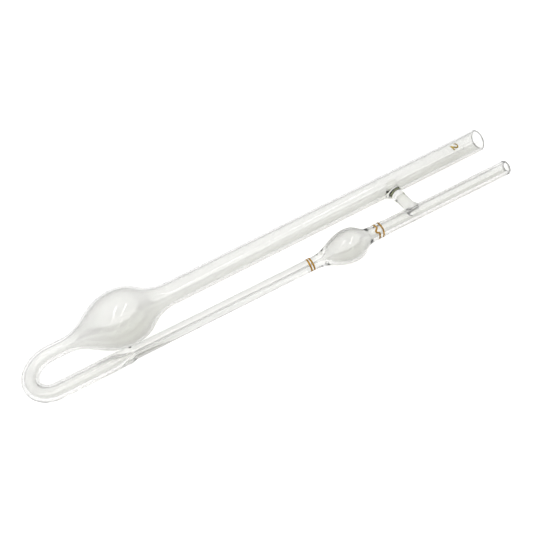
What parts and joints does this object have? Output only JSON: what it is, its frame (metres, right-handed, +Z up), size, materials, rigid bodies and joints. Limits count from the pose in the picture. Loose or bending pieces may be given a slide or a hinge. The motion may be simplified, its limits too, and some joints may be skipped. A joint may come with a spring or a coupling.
{
  "type": "u-tube capillary viscometer",
  "caption": "Clear glass U-tube capillary viscometer lying on a table: wide filling arm with a reservoir bulb, thin capillary arm with a timing bulb, glass bridge and gold marks.",
  "frame": {"origin": "centre of the bounding box on the table under the instrument as it lies at rest", "axes": "+X runs along the arms from the U-bend to the open ends, +Y from the thin arm to the wide arm, +Z up from the table. The arms slope about 2.4 degrees down towards +X and the thin arm lies 3.4 degrees lower, because the part rests on its reservoir bulb, timing bulb and wide mouth."},
  "size_m": [0.2618, 0.048, 0.0295],
  "materials": {
    "clear_glass": "clear, fire-polished, very slightly warm",
    "olive_glass": "dark olive green sealing glass",
    "gold_mark": "fired-on gold-brown line, slightly uneven"
  },
  "bodies": {
    "root": {"filling_tube": "clear_glass", "reservoir_bulb": "clear_glass", "u_bend": "clear_glass", "capillary_seal": "clear_glass", "capillary_tube": "clear_glass", "timing_bulb": "clear_glass", "suction_tube": "clear_glass", "bridge_collar": "clear_glass", "bridge_band": "olive_glass", "bridge_rod": "clear_glass", "lower_mark_ring_1": "gold_mark", "lower_mark_ring_2": "gold_mark", "upper_mark_ring_wavy": "gold_mark", "upper_mark_ring_plain": "gold_mark", "size_numeral": "gold_mark"}
  },
  "joints": []
}
